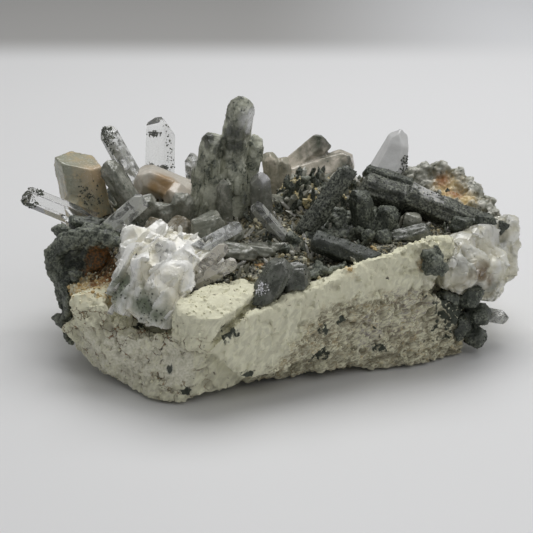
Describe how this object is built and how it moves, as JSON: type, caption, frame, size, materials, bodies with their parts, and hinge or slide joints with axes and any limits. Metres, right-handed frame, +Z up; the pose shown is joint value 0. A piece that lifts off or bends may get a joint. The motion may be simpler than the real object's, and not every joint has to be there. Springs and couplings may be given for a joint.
{
  "type": "chlorite cluster",
  "caption": "Mineral specimen for a shelf: pale broken rock carrying quartz crystals coated or filled with dark green chlorite, with milky and iron-stained quartz; rests on flat spots.",
  "frame": {"origin": "middle of the bounding box in plan, at the level of the surface it rests on", "axes": "+X along its length to the viewer's right, +Y away from the broken front face, +Z up"},
  "size_m": [0.2011, 0.1426, 0.0954],
  "materials": {
    "pale_rock": "rough matte, cream on broken tops, grey and iron-stained below",
    "milky_quartz": "translucent white quartz, glassy breaks",
    "ridge_quartz": "knobbly pale quartz with a yellow and orange stained hollow",
    "clear_quartz": "polished natural faces, clear with chlorite dust",
    "stained_quartz": "translucent quartz with pink-beige and orange iron stain",
    "chlorite": "matte dark grey-green chlorite coat, fine grained"
  },
  "bodies": {
    "root": {"back_chlorite_crust": "chlorite", "back_left_crystals": "chlorite", "back_middle_crystals": "chlorite", "back_pink_crystals": "stained_quartz", "back_pink_tips": "stained_quartz", "back_right_crystals": "chlorite", "blocky_dark_crystals": "chlorite", "bright_clear_crystal": "clear_quartz", "brown_grey_crystals": "stained_quartz", "capped_clear_crystal": "clear_quartz", "clear_edge_crystal": "clear_quartz", "clear_quartz_spray": "clear_quartz", "clear_upright_crystal": "clear_quartz", "dark_crystal_knot": "chlorite", "dark_tip_crystal": "clear_quartz", "finger_crystals": "chlorite", "front_chlorite_crust": "chlorite", "front_dark_crystals": "chlorite", "front_lying_crystal": "chlorite", "grey_cap_crystals": "chlorite", "grey_needle_crystals": "chlorite", "grey_ribbed_crystals": "chlorite", "leaning_dark_crystal": "chlorite", "left_chlorite_crust": "chlorite", "left_lying_crystal": "chlorite", "left_milky_quartz": "milky_quartz", "long_block_crystals": "chlorite", "lower_right_dark_crystals": "chlorite", "lower_right_quartz_tips": "clear_quartz", "lying_grey_crystals": "chlorite", "matrix_rock": "pale_rock", "middle_chlorite_crust": "chlorite", "orange_block_crystal": "stained_quartz", "oval_dark_crystal": "chlorite", "pale_face_crystal": "chlorite", "pale_pink_crystal": "stained_quartz", "plate_crystal": "chlorite", "ribbed_clear_crystal": "clear_quartz", "right_chlorite_knob": "chlorite", "right_milky_quartz": "milky_quartz", "short_dark_crystals": "chlorite", "small_back_crystals": "clear_quartz", "small_grey_crystals": "chlorite", "small_lying_crystal": "chlorite", "tall_crystal_bundle": "chlorite", "white_point_crystal": "clear_quartz", "yellow_centred_ridge": "ridge_quartz"}
  },
  "joints": []
}
